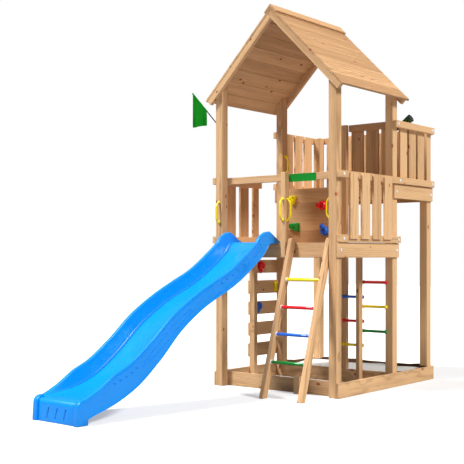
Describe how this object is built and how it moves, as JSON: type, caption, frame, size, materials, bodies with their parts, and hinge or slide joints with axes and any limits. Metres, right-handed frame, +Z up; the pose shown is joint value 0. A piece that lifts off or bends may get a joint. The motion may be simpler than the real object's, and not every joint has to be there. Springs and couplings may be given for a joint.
{
  "type": "wooden play tower with slide",
  "caption": "Timber play tower with a pitched roof, wave slide, leaning ladder, climbing walls, raised lookout box with telescope, and a sandpit.",
  "frame": {"origin": "middle of the footprint of the whole object, at the ground", "axes": "+Z up, +Y from the slide's foot towards the lookout box at the back, +X to the right when facing the tower's front"},
  "size_m": [1.9592, 4.4728, 3.8374],
  "materials": {
    "timber_posts": "planed timber, satin",
    "timber_boards": "planed timber, satin",
    "timber_fences": "planed timber, satin",
    "timber_ladder": "planed timber, satin",
    "timber_roof": "planed timber, satin",
    "plastic_yellow": "moulded, glossy",
    "plastic_red": "moulded, glossy",
    "plastic_blue": "moulded, glossy",
    "plastic_green": "moulded, glossy",
    "rung_yellow": "painted, glossy",
    "rung_red": "painted, glossy",
    "rung_blue": "painted, glossy",
    "rung_green": "painted, glossy",
    "slide_blue": "moulded, glossy",
    "telescope_black": "moulded, satin",
    "telescope_green": "moulded, glossy",
    "pole_dark": "painted, satin",
    "flag_cloth": "woven cloth",
    "sand_pale": "loose dry grains",
    "liner_brown": "woven ground cloth"
  },
  "bodies": {
    "tower": {"post_front_left": "timber_posts", "post_front_right": "timber_posts", "post_middle_left": "timber_posts", "post_middle_right": "timber_posts", "post_rear_left": "timber_posts", "post_rear_right": "timber_posts", "entrance_post": "timber_posts", "partition_stud": "timber_posts", "rung_stud": "timber_posts", "base_board_front": "timber_boards", "base_board_rear": "timber_boards", "base_board_left": "timber_boards", "base_board_right": "timber_boards", "base_divider": "timber_boards", "lower_deck": "timber_boards", "upper_deck": "timber_boards", "front_rail": "timber_boards", "climbing_wall": "timber_boards", "partition_panel": "timber_boards", "fence_left": "timber_fences", "fence_right": "timber_fences", "lookout_fence_left": "timber_fences", "lookout_fence_right": "timber_fences", "lookout_fence_rear": "timber_fences", "lookout_fence_front": "timber_fences", "ladder_stile_left": "timber_ladder", "ladder_stile_right": "timber_ladder", "roof_left": "timber_roof", "roof_right": "timber_roof", "ridge_cap": "timber_roof", "handle_entrance_front": "plastic_yellow", "handle_entrance_side": "plastic_yellow", "handle_front_left": "plastic_yellow", "handle_front_right": "plastic_yellow", "handle_lookout": "plastic_yellow", "hold_panel_yellow": "plastic_yellow", "hold_wall_yellow": "plastic_yellow", "hold_panel_red": "plastic_red", "hold_wall_red": "plastic_red", "hold_panel_blue": "plastic_blue", "hold_wall_blue": "plastic_blue", "hold_panel_green": "plastic_green", "ladder_rung_yellow": "rung_yellow", "climb_rung_left_yellow": "rung_yellow", "climb_rung_right_yellow": "rung_yellow", "ladder_rung_red": "rung_red", "climb_rung_left_red": "rung_red", "climb_rung_right_red": "rung_red", "ladder_rung_blue": "rung_blue", "climb_rung_left_blue": "rung_blue", "ladder_rung_green": "rung_green", "climb_rung_right_green": "rung_green", "slide": "slide_blue", "telescope_bracket": "telescope_black", "flag_pole": "pole_dark", "flag": "flag_cloth", "sand": "sand_pale", "sand_liner": "liner_brown"},
    "telescope_yoke": {"telescope_yoke": "telescope_black"},
    "telescope_tube": {"telescope_tube": "telescope_green"}
  },
  "joints": [
    {"name": "telescope_pan", "type": "hinge", "parent": "tower", "child": "telescope_yoke", "pos_m": [0.80275, 1.71358, 2.6483], "axis": [0, 0, 1], "range_deg": [-90, 90]},
    {"name": "telescope_tilt", "type": "hinge", "parent": "telescope_yoke", "child": "telescope_tube", "pos_m": [0.80275, 1.71358, 2.745], "axis": [0, -1, 0], "range_deg": [-3, 30]}
  ]
}
